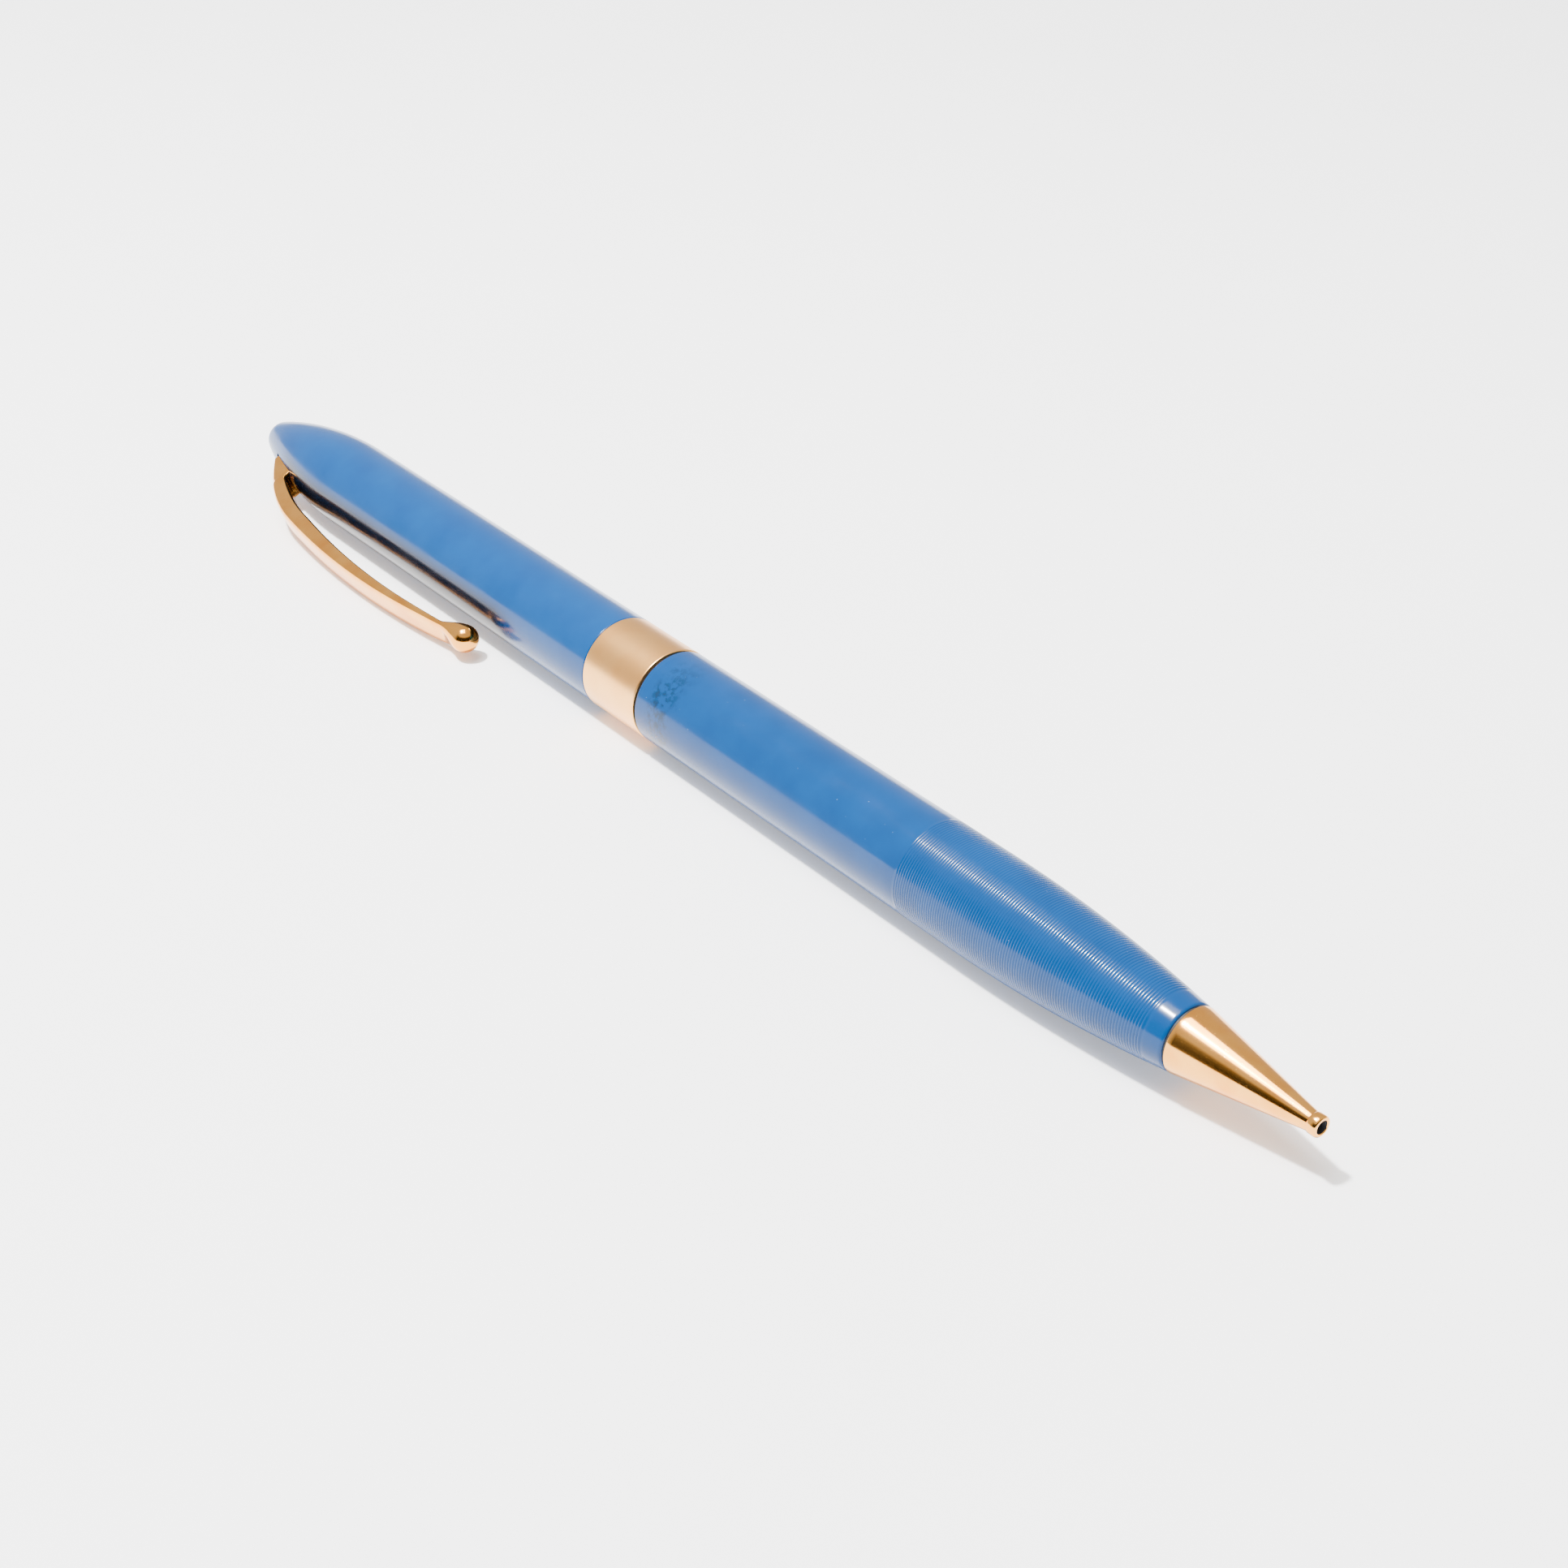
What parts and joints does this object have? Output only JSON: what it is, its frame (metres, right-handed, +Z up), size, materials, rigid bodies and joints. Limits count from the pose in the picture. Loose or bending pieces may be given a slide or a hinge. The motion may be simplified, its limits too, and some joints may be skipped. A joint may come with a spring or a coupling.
{
  "type": "mechanical pencil",
  "caption": "Slim twist-action mechanical pencil with a ringed barrel, plated band and cone, pull-off cap and sprung ball-end pocket clip, resting on its side.",
  "frame": {"origin": "centre of the bounding box at its lowest level, where the barrel and the clip rest on a flat surface", "axes": "+X along the pencil towards the writing tip, +Z up from the surface that it lies on, the clip on the -Y side"},
  "size_m": [0.136, 0.0122, 0.0082],
  "materials": {
    "barrel_blue": "glossy mid blue, fine turned rings near the nose",
    "cap_blue": "glossy mid blue",
    "gold_plate": "polished warm gold plate, lightly worn",
    "inner_brass": "turned brass",
    "inner_steel": "drawn steel",
    "seam_black": "matt black washer",
    "eraser_rubber": "matt dusty red",
    "graphite": "dark grey graphite"
  },
  "bodies": {
    "barrel": {"barrel_shell": "barrel_blue", "barrel_insert": "inner_brass", "nose_cone": "gold_plate", "nose_sleeve": "inner_brass", "guide_plug": "inner_brass", "guide_tube": "inner_brass", "guide_stop": "inner_steel", "drag_spring": "inner_steel", "thrust_washer": "inner_steel", "rear_bearing": "inner_brass", "seam_washer": "seam_black"},
    "drive": {"casing_tube": "inner_brass", "casing_collar": "inner_brass", "magazine_floor": "inner_brass", "spiral_tube": "inner_brass", "spare_leads": "graphite"},
    "feed": {"carriage": "inner_brass", "carriage_pin": "inner_steel", "push_rod": "inner_steel", "lead_holder": "inner_brass", "lead": "graphite"},
    "eraser_unit": {"eraser_ferrule": "inner_brass", "eraser": "eraser_rubber"},
    "cap": {"cap_shell": "cap_blue", "cap_band": "gold_plate", "cap_liner": "inner_brass", "clip_block": "inner_brass", "block_nut": "inner_brass", "clip_hinge_pin": "inner_steel", "clip_spring": "inner_steel"},
    "pocket_clip": {"clip": "gold_plate"}
  },
  "joints": [
    {"name": "twist", "type": "hinge", "parent": "barrel", "child": "drive", "pos_m": [0, 0.00202, 0.0041], "axis": [1, 0, 0], "range_deg": [-360, 720]},
    {"name": "lead_feed", "type": "slide", "parent": "barrel", "child": "feed", "axis": [1, 0, 0], "range_m": [-0.00601, 0.01201]},
    {"name": "eraser_pull", "type": "slide", "parent": "drive", "child": "eraser_unit", "axis": [-1, 0, 0], "range_m": [0, 0.005]},
    {"name": "cap_pull", "type": "slide", "parent": "drive", "child": "cap", "axis": [-1, 0, 0], "range_m": [0, 0.055]},
    {"name": "clip_swing", "type": "hinge", "parent": "cap", "child": "pocket_clip", "pos_m": [-0.06115, 0.00146, 0.00389], "axis": [0, 0.3493, -0.937], "range_deg": [0, 7], "stiffness_Nm_per_rad": 0.2}
  ],
  "couplings": [
    {"joint": "lead_feed", "follows": "twist", "m_per_rad": 0.00095493}
  ]
}
